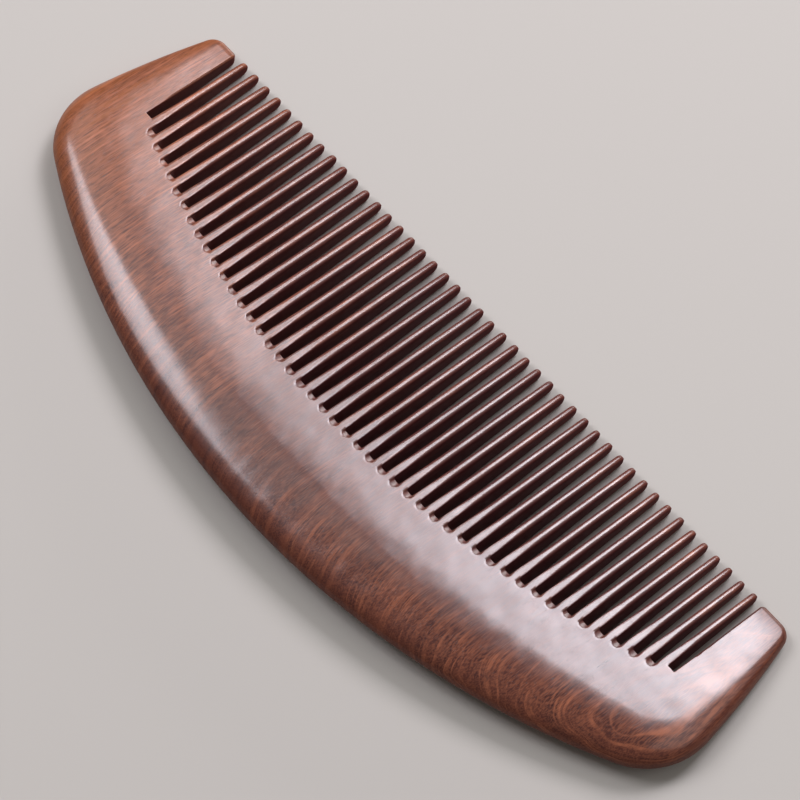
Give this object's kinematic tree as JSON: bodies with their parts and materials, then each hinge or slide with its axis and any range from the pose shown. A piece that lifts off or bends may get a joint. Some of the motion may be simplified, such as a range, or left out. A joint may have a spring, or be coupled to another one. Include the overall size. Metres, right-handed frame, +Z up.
{
  "type": "sandalwood hair comb",
  "caption": "Crescent-shaped wooden hair comb with a thick rounded back, straight tapered teeth rooted on a curve, and a broad guard at each end, lying on its side.",
  "frame": {"origin": "middle of the bounding box at the height of the surface that the comb lies on", "axes": "+X along the comb, +Y from the spine towards the tooth tips, +Z up from the face that it lies on"},
  "size_m": [0.181, 0.0634, 0.0097],
  "materials": {
    "wood": "oiled and polished dark red-brown sandalwood"
  },
  "bodies": {
    "root": {"back": "wood", "teeth": "wood"}
  },
  "joints": []
}
